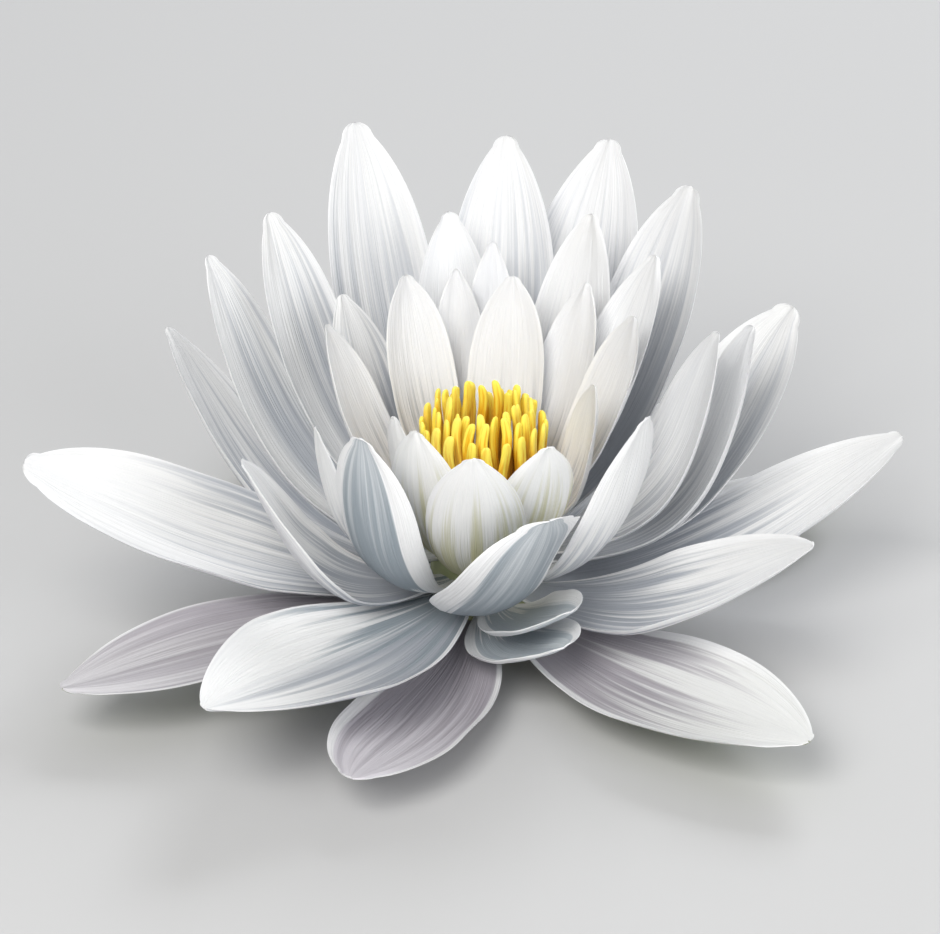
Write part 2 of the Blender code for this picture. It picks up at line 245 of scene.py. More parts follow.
def petal_material(name, finish):
    """A waxy petal: white blade, a cool painted shade along the veins, a root colour, and a colour for the
    back.
    """
    material = bpy.data.materials.new(name)
    material.use_nodes = True
    tree = material.node_tree
    shader = tree.nodes["Principled BSDF"]
    place = add_node(tree, "ShaderNodeAttribute", attribute_name="place").outputs["Vector"]
    inner_face = add_node(tree, "ShaderNodeAttribute", attribute_name="inner_face").outputs["Fac"]
    lines = add_node(tree, "ShaderNodeGroup", node_tree=streaks)
    lines.inputs["Count"].default_value = VEINS
    lines.inputs["Run"].default_value = VEIN_RUN
    tree.links.new(place, lines.inputs["Place"])
    faces = []
    sides = ((finish.back, finish.back_shade or finish.shade), (finish.blade, finish.shade))
    for blade_colour, shade_colour in sides:
        tint = add_node(tree, "ShaderNodeGroup", node_tree=petal_tint)
        tint.inputs["Blade"].default_value = (*blade_colour, 1)
        tint.inputs["Shade"].default_value = (*shade_colour, 1)
        tint.inputs["Root"].default_value = (*finish.root, 1)
        tint.inputs["Shade Reach"].default_value = finish.shade_reach
        tint.inputs["Root Reach"].default_value = finish.root_reach
        tint.inputs["Rim From"].default_value = finish.rim_from
        tint.inputs["Lit Side"].default_value = finish.lit_side
        tree.links.new(place, tint.inputs["Place"])
        tree.links.new(lines.outputs["Broad"], tint.inputs["Streaks"])
        faces.append(tint.outputs["Color"])
    colour = blend_colours(tree, step_between(tree, inner_face, 0.3, 0.7), faces[0], faces[1])
    line_share = maths(tree, "MULTIPLY", lines.outputs["Fine"], finish.lines)
    lined = blend_colours(tree, line_share, colour, LINE_COLOUR)
    tree.links.new(lined, shader.inputs["Base Color"])
    dullness = maths(tree, "MULTIPLY", lines.outputs["Broad"], DULLNESS_VARIES)
    dullness = maths(tree, "ADD", dullness, PETAL_DULLNESS)
    tree.links.new(dullness, shader.inputs["Roughness"])
    shader.inputs["Specular IOR Level"].default_value = PETAL_SHINE
    broad_ribs = maths(tree, "MULTIPLY", lines.outputs["Broad"], BROAD_RIB_SHARE)
    relief = maths(tree, "ADD", lines.outputs["Fine"], broad_ribs)
    ribs = {"Height": relief, "Strength": RIB_STRENGTH, "Distance": RIB_HEIGHT}
    bump = add_node(tree, "ShaderNodeBump", ribs)
    tree.links.new(bump.outputs["Normal"], shader.inputs["Normal"])
    through = add_node(tree, "ShaderNodeBsdfTranslucent", {"Color": lined, "Normal": bump.outputs["Normal"]})
    shaders = {0: LIGHT_THROUGH, 1: shader.outputs[0], 2: through.outputs[0]}
    mixed = add_node(tree, "ShaderNodeMixShader", shaders)
    tree.links.new(mixed.outputs[0], tree.nodes["Material Output"].inputs["Surface"])
    return material


# The darker greys and the blue-grey here are colours of painted shade. The lavender is partly the bloom's own
# flush and partly painted shade, and the dark green is painted shade on the sepals' green backs. The brightest
# white goes on petals that are painted as lit; cream and leaf green are the bloom's own.
BRIGHT = (0.95, 0.95, 0.94)
PURE = (0.88, 0.88, 0.875)
COLD_WHITE = (0.875, 0.88, 0.895)
PALE = (0.80, 0.805, 0.82)
SOFT_GREY_SHADE = (0.62, 0.64, 0.67)
MILD_SHADE = (0.52, 0.545, 0.585)
COOL_SHADE = (0.43, 0.455, 0.50)
DARK_SHADE = (0.38, 0.40, 0.44)
BLUE_GREY_SHADE = (0.33, 0.38, 0.42)
LAVENDER_FLUSH_AND_SHADE = (0.44, 0.41, 0.45)
CREAM = (0.68, 0.66, 0.40)
LEAF_GREEN = (0.24, 0.29, 0.10)
DARK_GREEN_SHADE = (0.19, 0.22, 0.09)

# Each finish is a white with painted light and shade in its colour.
FINISHES = {
    "inner": PetalFinish(COLD_WHITE, SOFT_GREY_SHADE, PURE, (0.82, 0.83, 0.78), 0.45, 0.22),
    # A cream root, the petal's own, on a blade painted a brighter white, as lit.
    "cream_based": PetalFinish(BRIGHT, (0.82, 0.82, 0.78), BRIGHT, CREAM, 0.80, 0.78),
    # Painted a brighter white, as lit.
    "bright": PetalFinish((0.925, 0.93, 0.935), SOFT_GREY_SHADE, BRIGHT, PALE, 0.50, 0.12, lines=0.22),
    # A wedge of painted shade out from the root.
    "painted_shade_wedge": PetalFinish(PURE, COOL_SHADE, PALE, COOL_SHADE, 0.62, 0.10),
    "high": PetalFinish(PURE, MILD_SHADE, PALE, COOL_SHADE, 0.85, 0.10, lines=0.20),
    "shaded": PetalFinish(PURE, COOL_SHADE, PALE, DARK_SHADE, 0.85, 0.10, 0.78, 0.0, 0.10),
    "left_lit": PetalFinish(BRIGHT, MILD_SHADE, PALE, COOL_SHADE, 1.00, 0.10, 0.80, 0.95),
    "right_lit": PetalFinish(BRIGHT, COOL_SHADE, PALE, BLUE_GREY_SHADE, 1.00, 0.36, 0.84, -0.95),
    # Painted blue-grey all over, for petals in shade.
    "folded_painted_shade": PetalFinish((0.66, 0.70, 0.73), BLUE_GREY_SHADE, (0.70, 0.73, 0.75), PURE, 1.15, 0.08, 0.56, 0.0),
    # Painted a lighter blue-grey all over, for the low cups in shade.
    "low_cup_painted_shade": PetalFinish(
        (0.74, 0.78, 0.80), (0.50, 0.55, 0.59), (0.76, 0.79, 0.80), PALE, 1.15, 0.08, 0.66, 0.0, 0.06
    ),
    # A lavender flush of its own, with a darker tone that is painted shade.
    "lavender": PetalFinish((0.76, 0.73, 0.77), LAVENDER_FLUSH_AND_SHADE, PALE, LAVENDER_FLUSH_AND_SHADE, 1.00, 0.10),
    "sepal": PetalFinish(PURE, LAVENDER_FLUSH_AND_SHADE, LEAF_GREEN, LAVENDER_FLUSH_AND_SHADE, 0.66, 0.10, back_shade=DARK_GREEN_SHADE),
    # Partly its own lavender flush and partly painted shade, darker all over.
    "sepal_flush_and_shade": PetalFinish(
        (0.74, 0.72, 0.75), LAVENDER_FLUSH_AND_SHADE, LEAF_GREEN, LAVENDER_FLUSH_AND_SHADE, 1.05, 0.10, back_shade=DARK_GREEN_SHADE
    ),
}
petal_finishes = {name: petal_material(f"petal_{name}", finish) for name, finish in FINISHES.items()}
print("petal finishes:", ", ".join(petal_finishes))

# %% [markdown]
# ## The shape of a blade
# Every petal and sepal is the same kind of form with its own numbers, so it is one formula. A line runs from
# root to tip and sags a little. Across it the blade is an arc, narrow at the root, fullest in the middle and
# closing to the tip. Modelling each petal by hand would take days, and a formula keeps it on its solid.

# %% Say what a blade is
Blade = namedtuple("Blade", "azimuth rise length width root bow cup roll lean tip", defaults=(0, 0, 2.4))

ROOT_RADIUS = 8.7 * MM
BROADEST = 0.52
CLAW_WIDTH = 0.27
TIP_WIDTH = 0.06
TIP_ROUNDING = 0.85
ARC_FROM = 0.985
ARC_EARLIER_IF_BLUNT = 0.012
POINTED_TIP = 1.5
ARC_CLOSES = 0.998
CUP_AT_ENDS = 0.45
CUP_FORWARD = 1.05
CUP_FULLNESS = 0.8
BOW_SKEW = 1.4
TWIST_END = 0.4


def width_share(blade, along):
    """Share of the greatest width. A last stretch, longer on a blunt blade, closes in a small arc."""
    round_end = ARC_FROM - ARC_EARLIER_IF_BLUNT * (blade.tip - POINTED_TIP)
    last = np.clip((along - round_end) / (1 - round_end), 0, 1)
    arc = np.sqrt(1 - ARC_CLOSES * last**2)
    along = np.minimum(along, round_end)
    opening = CLAW_WIDTH + (1 - CLAW_WIDTH) * np.sin(math.pi / 2 * np.clip(along, -1, BROADEST) / BROADEST)
    past = np.clip((along - BROADEST) / (1 - BROADEST), 0, 1)
    closing = TIP_WIDTH + (1 - TIP_WIDTH) * (1 - past**blade.tip) ** TIP_ROUNDING
    return np.where(along < BROADEST, opening, closing) * arc


def cup_share(along):
    swell = np.sin(math.pi * np.clip(along * CUP_FORWARD, 0, 1)) ** CUP_FULLNESS
    return CUP_AT_ENDS + (1 - CUP_AT_ENDS) * swell


def bow_share(along):
    peak = 1 / (1 + BOW_SKEW)
    return along * (1 - np.clip(along, 0, 1)) ** BOW_SKEW / (peak * (1 - peak) ** BOW_SKEW)


def unit(vectors):
    return vectors / np.linalg.norm(vectors, axis=-1, keepdims=True)


def level(angle):
    """The level direction at an angle from +X towards +Y."""
    return np.array([np.cos(angle), np.sin(angle), 0])


trial = Blade(0, 0, 60, 20, 5, 0.1, 0.5)
print("width at a quarter, half and nine tenths:", width_share(trial, np.array([0.25, 0.5, 0.9])).round(2))

# %% [markdown]
# The middle surface comes first, as rows of points with the direction that the inner face looks in. Working
# on whole rows with numpy is as short as working on one point, and much faster.

# %% Lay out a blade's middle surface
def blade_sheet(blade, along, across):
    """Rows of points on the blade's middle surface, and the unit normals of its inner side."""
    azimuth, rise, lean, roll = np.radians([blade.azimuth, blade.rise, blade.lean, blade.roll])
    length = blade.length * MM
    height = np.array([0, 0, 1])
    root = ROOT_RADIUS * level(azimuth + lean) + height * blade.root * MM
    chord = level(azimuth) * np.cos(rise) + height * np.sin(rise)
    below = level(azimuth) * np.sin(rise) - height * np.cos(rise)
    turn_aside = level(azimuth + math.pi / 2) * length * np.cos(rise) * np.tan(lean)

    def middle(place):
        place = place[:, None]
        sag = below * length * blade.bow * bow_share(place)
        return root + chord * length * place + sag + turn_aside * place * (1 - place) ** 2

    step = 0.001
    inside = np.clip(along, step, 1 - step)
    tangent = unit(middle(inside + step) - middle(inside - step))
    sideways = unit(np.stack([-tangent[:, 1], tangent[:, 0], 0 * along], axis=1))
    inward = np.cross(tangent, sideways)
    twist = (roll * np.clip(along / TWIST_END, 0, 1))[:, None]
    sideways, inward = (
        sideways * np.cos(twist) + inward * np.sin(twist),
        inward * np.cos(twist) - sideways * np.sin(twist),
    )
    turn = blade.cup * cup_share(along)
    radius = (blade.width * MM / 2 * width_share(blade, along) / turn)[:, None, None]
    angle = (turn[:, None] * across)[:, :, None]
    sideways, inward = sideways[:, None], inward[:, None]
    aside, raised = sideways * radius * np.sin(angle), inward * radius * (1 - np.cos(angle))
    points = middle(along)[:, None] + aside + raised
    return points, inward * np.cos(angle) - sideways * np.sin(angle)


trial_points, _ = blade_sheet(trial, np.linspace(0, 1, 5), np.linspace(-1, 1, 3))
print("a trial blade reaches", (trial_points[-1, 1] / MM).round(1), "mm")

# %% [markdown]
# A real petal is never quite smooth. Its rim turns up and waves, low ribs follow the veins, the middle is a
# shallow trough, and the tip is hooded. All of that is a height above the middle surface, so one function
# adds the parts up. Each petal draws its phases from a seed made of its azimuth and number, which keeps
# every run the same. The heights named below are in millimetres.

# %% Shape the small relief of a blade
RIM_FROM = 0.74
MIDRIB_HALF_WIDTH = 0.09
RIBS_ACROSS = 9
HOOD_FROM = 0.84
RIB_RISE = 0.05
TROUGH_DEPTH = 0.14
DENT_DEPTH = 0.25
HOOD_RISE = 0.5


def blade_relief(along, across, draw, rim_lift, wave):
    """Heights in metres towards the inner side. The rim lift and the wave are in millimetres."""
    along, across = np.clip(along, 0, 1)[:, None], across[None, :]
    middle_of_length = np.sin(math.pi * np.clip(along * 1.08, 0, 1)) ** 0.6
    phase = [draw.uniform(0, 2 * math.pi) for _ in range(8)]
    rim = rim_lift * np.clip((np.abs(across) - RIM_FROM) / (1 - RIM_FROM), 0, 1) ** 2 * middle_of_length
    side = np.where(across > 0, 1.0, -1.0)
    slow = np.sin(2 * math.pi * 1.6 * along + phase[0] + side)
    quick = np.sin(2 * math.pi * 3.7 * along + phase[1] - side)
    waves = slow + 0.5 * quick
    waved = wave * np.abs(across) ** 3 * waves * along * middle_of_length
    ribbed = RIB_RISE * np.cos(math.pi * RIBS_ACROSS * across) * (1 - along) ** 0.5 * middle_of_length
    trough = -TROUGH_DEPTH * np.exp(-((across / MIDRIB_HALF_WIDTH) ** 2)) * (1 - along)
    dented = DENT_DEPTH * along * (
        np.sin(3.1 * along + 1.9 * across + phase[2]) * np.sin(2.3 * across + phase[3])
        + 0.6 * np.sin(7.3 * along - 2.7 * across + phase[4]) * np.sin(4.1 * across + phase[5])
        + 0.3 * np.sin(14.0 * along + 5.2 * across + phase[6]) * np.sin(6.3 * across + phase[7])
    )
    hooded = HOOD_RISE * np.clip((along - HOOD_FROM) / (1 - HOOD_FROM), 0, 1) ** 2
    return (rim + waved + ribbed + trough + dented + hooded) * MM


trial_relief = blade_relief(np.linspace(0, 1, 40), np.linspace(-1, 1, 20), random.Random(1), 0.6, 0.3)
print("relief from", (trial_relief.min() / MM).round(2), "to", (trial_relief.max() / MM).round(2), "mm")

# %% [markdown]
# ## Skinning
# All the pieces of this bloom are long or round, so all can be made as rings of points joined by a skin.
# Blender could bevel a curve or turn a profile with a modifier, but only rings let the same helper make a
# flat petal, a grooved stamen and a ribbed stalk, each with its own coordinates for the materials.

# %% Join rings of points into a mesh
def skin(name, rings, places, inner_face=None):
    """A closed skin over rings of points, (ring, point, xyz), with a cap on the first and the last."""
    ring_count, point_count = rings.shape[:2]
    faces = []
    for ring in range(ring_count - 1):
        for point in range(point_count):
            after = (point + 1) % point_count
            low, high = ring * point_count, (ring + 1) * point_count
            faces.append((low + point, low + after, high + after, high + point))
    faces.append(tuple(range(point_count - 1, -1, -1)))
    faces.append(tuple((ring_count - 1) * point_count + point for point in range(point_count)))
    mesh = bpy.data.meshes.new(name)
    mesh.from_pydata(rings.reshape(-1, 3).tolist(), [], faces)
    spots = mesh.attributes.new("place", "FLOAT_VECTOR", "POINT")
    spots.data.foreach_set("vector", places.reshape(-1).astype(float))
    if inner_face is not None:
        marks = mesh.attributes.new("inner_face", "FLOAT", "POINT")
        marks.data.foreach_set("value", inner_face.reshape(-1).astype(float))
    mesh.shade_smooth()
    mesh.set_sharp_from_angle(angle=math.radians(70))
    return mesh


def show(name, mesh, finish, node):
    """Puts a piece in the scene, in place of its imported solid."""
    piece = bpy.data.objects.new(name, mesh)
    mesh.materials.append(finish)
    bpy.context.scene.collection.objects.link(piece)
    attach(piece, "root")
    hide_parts(node)
    return piece


print("helpers: skin, show")

# %% [markdown]
# ## One petal
# Each ring of a petal runs once round its cross-section: along the inner face, round the thin rim, and back
# along the outer face. The thickness falls off towards the rim and the tip, as on the real blade, which is
# fleshy at its root. The root is sunk into the receptacle, since the two grew as one.

# %% Grow a petal from its numbers
BLADE_ROWS = 56
BLADE_COLUMNS = 24
ROOT_SUNK = -0.02
THICKNESS = 0.8 * MM
RIM_SHARPNESS = 5
CLEAR_OF_SURFACE = 0.15 * MM
ROWS_CROWD_TO_TIP = 1.5
THINNER_AT_TIP = 0.55
TIP_CLOSES = 0.98
TIP_SHARPNESS = 12
ON_THE_RIM = 0.5


def petal_mesh(name, blade, seed, rim_lift, wave):
    reach = np.linspace(0, 1, BLADE_ROWS)
    along = ROOT_SUNK + (1 - ROOT_SUNK) * (1 - (1 - reach) ** ROWS_CROWD_TO_TIP)
    across = np.sin(np.linspace(-math.pi / 2, math.pi / 2, BLADE_COLUMNS + 1))
    points, normals = blade_sheet(blade, along, across)
    relief = blade_relief(along, across, random.Random(seed), rim_lift, wave)
    points = points + normals * relief[:, :, None]
    thin_rim = np.sqrt(1 - np.abs(across) ** RIM_SHARPNESS)
    on_blade = np.clip(along, 0, 1)
    thin_tip = (1 - THINNER_AT_TIP * on_blade) * np.sqrt(1 - TIP_CLOSES * on_blade**TIP_SHARPNESS)
    half = (THICKNESS / 2 * thin_tip[:, None] * thin_rim[None, :])[:, :, None]
    inner, outer = points + normals * half, points - normals * half
    rings = np.concatenate([inner, outer[:, -2:0:-1]], axis=1)
    rings[:, :, 2] = np.maximum(rings[:, :, 2], CLEAR_OF_SURFACE)
    round_across = np.concatenate([across, across[-2:0:-1]])
    marks = np.concatenate([np.ones(BLADE_COLUMNS + 1), np.zeros(BLADE_COLUMNS - 1)])
    marks[[0, BLADE_COLUMNS]] = ON_THE_RIM
    places = np.zeros(rings.shape)
    places[:, :, 0] = along[:, None]
    places[:, :, 1] = round_across[None, :]
    places[:, :, 2] = random.Random(seed).random()
    return skin(name, rings, places, np.broadcast_to(marks, rings.shape[:2]))


def grow(whorl, blades, rim_lift, wave, finishes):
    """Every blade of one whorl. The finishes name one for all, or one by the blade's number."""
    for number, blade in enumerate(blades, start=1):
        node = f"{whorl}_{number}"
        finish = petal_finishes[finishes.get(number, finishes["all"])]
        name = f"fine_{node}"
        seed = blade.azimuth * 7 + number
        show(name, petal_mesh(name, blade, seed, rim_lift, wave), finish, node)
    print(whorl, len(blades), "blades")


# %% [markdown]
# ## The sepals
# Four sepals lie lowest and held the bud shut. They are white inside like a petal, with a lavender flush that
# is partly their own colour and partly painted shade, and green outside, which shows from below, with a darker
# painted green shade. Every row below gives the azimuth and the rise of one blade in degrees, its length,
# width and height of root in millimetres, its bow and cup, its roll and lean, and how full its outline stays
# towards the tip.

# %% Grow the sepals
SEPALS = (
    Blade(209.5, 4.2, 65.5, 23, 4.6, -0.03, 0.30, 0),
    Blade(312, 4, 64, 27, 5.4, 0.045, 0.45, 5, 0, 2.0),
    Blade(35, 2, 62, 22, 5.2, 0.085, 0.45),
    Blade(125, 2, 62, 22, 5.2, 0.085, 0.45),
)
# The first sepal is painted darker all over: its flush is partly its own and partly painted shade.
grow("sepal", SEPALS, 0.7, 0.30, {"all": "sepal", 1: "sepal_flush_and_shade"})

# %% [markdown]
# ## The outer petals
# The lowest petals are long and lie nearly level, like rays. They and the sepals have the most room, so
# their rims turn up the most and wave the most.

# %% Grow the outer petals
OUTER_PETALS = (
    Blade(10, 19, 63, 23, 7.8, 0.12, 0.55, 4, 0, 2.5),
    Blade(50, 12, 60, 22, 6.6, 0.07, 0.55),
    Blade(79, 20, 62, 22, 8.1, 0.07, 0.55),
    Blade(108, 12, 62, 22, 6.6, 0.07, 0.55),
    Blade(146.6, 27, 60, 17, 9.8, 0.22, 0.55, 10),
    Blade(187, 21.5, 68.5, 25, 8.2, 0.055, 0.50, -14, -3, 3.2),
    Blade(235.5, 9, 64.5, 30, 8.8, 0.04, 0.50, -4, 0, 1.6),
    Blade(251, 3, 56, 21.5, 5.5, 0.065, 0.45, 0, 10, 2.9),
    Blade(331, 22.5, 53, 25, 8.8, 0.11, 0.55, 10, 0, 2.0),
)
# Most take a wedge of painted shade from the root; the fifth is painted darker, the seventh has a painted lit
# side, and the eighth a lavender flush with painted shade.
outer_finishes = {"all": "painted_shade_wedge", 5: "shaded", 7: "right_lit", 8: "lavender"}
grow("petal_outer", OUTER_PETALS, 0.7, 0.30, outer_finishes)

# %% [markdown]
# ## The second whorl
# These stand up behind and lie folded like little boats in front, where they shade themselves.

# %% Grow the second whorl
SECOND_PETALS = (
    Blade(28, 35, 59, 22, 10.4, 0.18, 0.60, 8, 0, 3.2),
    Blade(46.5, 50, 63, 19.5, 13.4, 0.135, 0.60, 0, 0, 3.0),
    Blade(69, 46, 72.5, 22.5, 9.5, 0.10, 0.60),
    Blade(85.5, 52, 67, 20, 11.8, 0.10, 0.60),
    Blade(112.5, 50, 73, 19.5, 10.3, 0.13, 0.60, 0, 0, 3.0),
    Blade(139, 51, 59.5, 17, 13.1, 0.15, 0.60, 0, 0, 3.0),
    Blade(150, 45, 60.5, 18, 11.0, 0.18, 0.60),
    Blade(205, 40, 42.5, 21, 10.9, 0.20, 0.60, -12, 0, 2.8),
    Blade(297.5, 14, 26, 17, 7.2, 0.12, 0.55, 8, -22, 3.2),
    Blade(303, 21, 22.5, 16, 8.9, 0.10, 0.55, 8, -20, 3.2),
)
# Painted shade from the root on all; the first, sixth and seventh keep a painted lit side, the eighth takes a
# wedge of painted shade, and the two low cups in front are painted blue-grey all over, as shade.
second_finishes = {"all": "high", 8: "painted_shade_wedge"}
second_finishes.update(dict.fromkeys((1, 6, 7), "left_lit"))
second_finishes.update(dict.fromkeys((9, 10), "low_cup_painted_shade"))
grow("petal_second", SECOND_PETALS, 0.5, 0.22, second_finishes)

# %% [markdown]
# ## The third whorl
# Shorter and steeper, this ring starts the cup round the stamens.

# %% Grow the third whorl
THIRD_PETALS = (
    Blade(13, 46, 51, 17, 12.0, 0.24, 0.65, 4, 0, 3.0),
    Blade(37, 57, 48, 15, 15.9, 0.07, 0.65),
    Blade(61.5, 57, 52, 15.5, 14.7, 0.12, 0.65),
    Blade(98.7, 58, 52, 15, 13.2, 0.12, 0.65),
    Blade(137.5, 57, 41.5, 15, 14.4, 0.12, 0.65),
    Blade(201, 53, 32.5, 12, 14.9, 0.22, 0.65, 0, 0, 3.0),
    Blade(230.5, 57, 39.5, 18, 12.3, 0.22, 0.70, 0, 0, 3.0),
    Blade(294, 43.5, 39, 24, 10.4, 0.15, 0.70, 0, -34, 4.0),
    Blade(324.5, 57, 41, 16.5, 12.0, 0.15, 0.65, 0, 0, 2.8),
)
# Most are painted a brighter white, as lit; the third takes a wedge of painted shade, the fifth is painted
# darker, and the two folded petals in front are painted blue-grey all over, as shade.
third_finishes = {"all": "bright", 3: "painted_shade_wedge", 5: "shaded", 7: "folded_painted_shade", 8: "folded_painted_shade"}
grow("petal_third", THIRD_PETALS, 0.35, 0.14, third_finishes)

# %% [markdown]
# ## The inner petals
# The smallest petals stand closest to the stamens and are the whitest. The three in front of the tuft have
# a cream base, which shows because they are seen from outside. Their blades, and those of the first and the
# last, are painted a brighter white, as lit.

# %% Grow the inner petals
INNER_PETALS = (
    Blade(8, 51, 46.3, 19, 13.8, 0.20, 0.65, 8),
    Blade(19, 63, 37, 12, 18.4, 0.07, 0.60, 12, 0, 3.0),
    Blade(51, 62, 38.5, 11.6, 17.5, 0.07, 0.60),
    Blade(77.5, 68, 36.3, 13.5, 18.7, 0.08, 0.60),
    Blade(87, 60, 45, 10, 15.1, 0.09, 0.60),
    Blade(99.5, 62, 39, 10, 16.9, 0.09, 0.60),
    Blade(122, 66, 38, 13, 18.4, 0.08, 0.60, 0, 0, 2.8),
    Blade(158, 60, 37, 14, 17.0, 0.10, 0.65),
    Blade(216, 70, 26, 9, 18.4, 0.09, 0.60, 0, 0, 3.0),
    Blade(243, 63, 32.5, 14, 16.4, 0.13, 0.65),
    Blade(267, 54, 39, 17, 14.6, 0.13, 0.65),
    Blade(291, 56, 33.5, 14, 17.4, 0.11, 0.65),
    Blade(345, 70, 29, 13, 18.4, 0.10, 0.65, 28, 0, 3.0),
)
# The first, the last and the three in front are painted a brighter white, as lit; the rest carry a soft
# painted shade.
inner_finishes = {"all": "inner", 1: "bright", 13: "bright"}
inner_finishes.update(dict.fromkeys((10, 11, 12), "cream_based"))
grow("petal_inner", INNER_PETALS, 0.25, 0.08, inner_finishes)

# %% [markdown]
# ## The stamens
# Each stamen is a flat yellow finger: a strap with two pollen sacs side by side, and a groove between them.
# Its ring has the outline of a flattened circle pinched at the groove. The tuft repeats the draw of the
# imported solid, number for number, so that every finger stands where the solid has one.

# %% Say where the stamens stand
StamenRing = namedtuple("StamenRing", "count foot middle tip height thickness")

SEAT_TOP = 20.3 * MM
STAMEN_BOTTOM = 22.1 * MM
STAMEN_RINGS = (
    StamenRing(21, 7.6, 9.4, 9.8, 39.0, 1.5),
    StamenRing(19, 6.7, 7.9, 7.6, 40.5, 1.4),
    StamenRing(15, 5.9, 6.4, 5.3, 41.5, 1.3),
)
STAMEN_SHAPE = (
    (0, 0.6), (0.2, 0.8), (0.45, 0.95), (0.7, 1.1), (0.93, 1.05), (0.975, 0.85), (0.995, 0.5), (1, 0.1),
)
STAMEN_ROWS = 26
STAMEN_POINTS = 14
TUFT_SEED = 7
STRAY = 0.04
SHORTEST, TALLEST = -1.6, 0.8
SWAY = 0.7
WIGGLE = 0.35 * MM
TURNED = 0.5
PINCH = 0.3
PINCH_SHARPNESS = 6
STRAP_BROAD = 1.05
STRAP_NARROW = 0.72


def stamen_rings(ring, azimuth, height, seed):
    """The rings of one stamen, and the place of each point on it."""
    along = 1 - (1 - np.linspace(0, 1, STAMEN_ROWS)) ** ROWS_CROWD_TO_TIP
    draw = random.Random(seed)
    sway = draw.uniform(-SWAY, SWAY) * MM
    turned = draw.uniform(-TURNED, TURNED)
    radius = ((1 - along) ** 2 * ring.foot + 2 * along * (1 - along) * ring.middle + along**2 * ring.tip) * MM
    sideways = level(azimuth + math.pi / 2)
    bend = sway * np.sin(3 * along) * along + WIGGLE * np.sin(9 * along + draw.uniform(0, 6)) * along
    centre = radius[:, None] * level(azimuth) + bend[:, None] * sideways
    centre[:, 2] = STAMEN_BOTTOM + (height - STAMEN_BOTTOM) * along
    half = ring.thickness * MM / 2 * np.interp(along, *zip(*STAMEN_SHAPE))
    turn = np.linspace(0, 2 * math.pi, STAMEN_POINTS, endpoint=False)
    pinch = 1 - PINCH * np.abs(np.cos(turn)) ** PINCH_SHARPNESS
    broad, narrow = level(azimuth + math.pi / 2 + turned), level(azimuth + turned)
    broadly = broad * (STRAP_BROAD * np.sin(turn))[:, None]
    outline = broadly + narrow * (STRAP_NARROW * np.cos(turn) * pinch)[:, None]
    places = np.zeros((STAMEN_ROWS, STAMEN_POINTS, 3))
    places[:, :, 0] = along[:, None]
    places[:, :, 1] = np.sin(turn)[None, :]
    places[:, :, 2] = draw.random()
    return centre[:, None] + half[:, None, None] * outline[None], places


stamens = []
draw = random.Random(TUFT_SEED)
for number, ring in enumerate(STAMEN_RINGS):
    for finger in range(ring.count):
        stray = draw.uniform(-STRAY, STRAY)
        azimuth = 2 * math.pi * (finger + 0.5 * (number % 2)) / ring.count + stray
        height = (ring.height + draw.uniform(SHORTEST, TALLEST)) * MM
        stamens.append(stamen_rings(ring, azimuth, height, 100 * number + finger))
print("stamens:", len(stamens))

# %% [markdown]
# The colours run from orange-brown at the foot, partly the stamens' own and partly painted shade deep in the
# tuft, through gold to lemon at the tip, with some variation from one stamen to the next. Fine grains of
# pollen roughen the surface, as a small bump.

# %% Make the stamen material
FOOT_ORANGE_AND_SHADE = (0.42, 0.17, 0.005, 1)
GOLD = (0.82, 0.45, 0.01, 1)
LEMON = (0.96, 0.79, 0.09, 1)
PALE_LEMON = (0.98, 0.86, 0.25, 1)


def grain_bump(tree, scale, height, strength):
    """A bump from small grains that are laid out in space, so that they have one size everywhere."""
    spot = add_node(tree, "ShaderNodeTexCoord").outputs["Object"]
    grains = add_node(tree, "ShaderNodeTexNoise", {"Vector": spot, "Scale": scale, "Detail": 2.0}).outputs[0]
    bump = add_node(tree, "ShaderNodeBump", {"Height": grains, "Strength": strength, "Distance": height})
    return bump.outputs["Normal"]


def new_material(name):
    material = bpy.data.materials.new(name)
    material.use_nodes = True
    return material, material.node_tree, material.node_tree.nodes["Principled BSDF"]


pollen, tree, shader = new_material("stamen_gold")
place = add_node(tree, "ShaderNodeAttribute", attribute_name="place").outputs["Vector"]
lines = add_node(tree, "ShaderNodeGroup", {"Place": place, "Count": 5.0, "Run": 7.0}, node_tree=streaks)
axes = add_node(tree, "ShaderNodeSeparateXYZ", {0: place}).outputs
uneven = maths(tree, "MULTIPLY", maths(tree, "SUBTRACT", lines.outputs["Broad"], 0.5), 0.5)
along = maths(tree, "ADD", axes["X"], uneven)
# Orange-brown at the foot, partly painted shade deep in the tuft.
colour = blend_colours(tree, step_between(tree, along, 0.2, 0.7), FOOT_ORANGE_AND_SHADE, GOLD)
colour = blend_colours(tree, step_between(tree, along, 0.6, 0.98), colour, LEMON)
colour = blend_colours(tree, maths(tree, "MULTIPLY", axes["Z"], 0.25), colour, PALE_LEMON)
tree.links.new(colour, shader.inputs["Base Color"])
dullness = maths(tree, "ADD", maths(tree, "MULTIPLY", lines.outputs["Fine"], 0.2), 0.42)
tree.links.new(dullness, shader.inputs["Roughness"])
tree.links.new(grain_bump(tree, scale=9000.0, height=0.06 * MM, strength=0.6), shader.inputs["Normal"])
print("material:", pollen.name)

# %% [markdown]
# The stamens grow from one ring and are one piece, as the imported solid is. Each is skinned by itself, which
# keeps its own coordinates, and a join then makes one mesh of them with the low collar that they stand on.

# %% Join the stamens into one tuft
def join_meshes(name, meshes):
    """One mesh out of several, with their attributes."""
    holders = [bpy.data.objects.new(name, mesh) for mesh in meshes]
    for holder in holders:
        bpy.context.scene.collection.objects.link(holder)
    with bpy.context.temp_override(active_object=holders[0], selected_editable_objects=holders):
        bpy.ops.object.join()
    joined = holders[0].data
    bpy.data.objects.remove(holders[0])
    return joined


